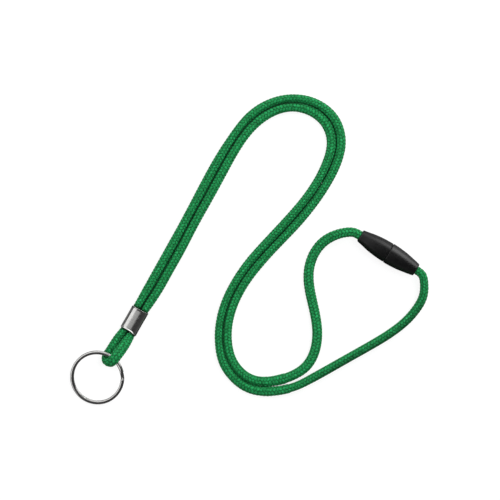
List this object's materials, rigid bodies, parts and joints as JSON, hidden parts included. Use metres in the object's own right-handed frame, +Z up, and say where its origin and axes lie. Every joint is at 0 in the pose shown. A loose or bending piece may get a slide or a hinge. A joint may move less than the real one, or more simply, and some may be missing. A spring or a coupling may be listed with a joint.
{
  "type": "breakaway cord lanyard",
  "caption": "Round braided cord lanyard with a crimp sleeve, a split ring and a barrel breakaway connector, laid flat.",
  "frame": {"origin": "on the table, under the middle of the box round the metal and plastic pieces (ring, sleeve and connector)", "axes": "+X from the split ring towards the breakaway connector, +Y across the table towards the neck loop's bend, +Z up from the table"},
  "size_m": [0.1846, 0.1598, 0.0112],
  "materials": {
    "cord": "round braided polyester, matt with a slight yarn sheen",
    "fused_cord": "heat-fused cord end, smooth and darker",
    "nickel_sleeve": "bright nickel plate on formed steel strip",
    "nickel_ring": "bright nickel plate on spring steel wire",
    "black_plastic": "satin moulded black plastic"
  },
  "bodies": {
    "root": {"cord_strand_a": "cord", "cord_strand_b": "cord", "cord_strand_b_end": "cord", "cord_fused_end_a": "fused_cord", "crimp_sleeve": "nickel_sleeve"},
    "plug_half": {"breakaway_plug": "black_plastic"},
    "cord_end_b": {"cord_fused_end_b": "fused_cord"},
    "socket_half": {"breakaway_socket": "black_plastic"},
    "cord_loop": {"cord_ring_loop": "cord"},
    "ring": {"split_ring": "nickel_ring"}
  },
  "joints": [
    {"name": "plug_swivel", "type": "hinge", "parent": "root", "child": "plug_half", "pos_m": [0.07388, 0.03317, 0.0055], "axis": [0.8513, -0.5247, 0], "continuous": true},
    {"name": "breakaway_pull", "type": "slide", "parent": "root", "child": "cord_end_b", "axis": [0.8513, -0.5247, 0], "range_m": [0, 0.01], "deforming": ["cord_strand_b_end"]},
    {"name": "socket_swivel", "type": "hinge", "parent": "cord_end_b", "child": "socket_half", "pos_m": [0.07388, 0.03317, 0.0055], "axis": [0.8513, -0.5247, 0], "continuous": true},
    {"name": "loop_flex", "type": "hinge", "parent": "root", "child": "cord_loop", "pos_m": [-0.0603, -0.00715, 0.0028], "axis": [-0.8678, 0.4969, 0], "range_deg": [0, 60], "deforming": ["cord_ring_loop"]},
    {"name": "ring_flip", "type": "hinge", "parent": "cord_loop", "child": "ring", "pos_m": [-0.06905, -0.02018, 0.00575], "axis": [-0.8348, 0.5505, 0], "range_deg": [0, 150]}
  ]
}
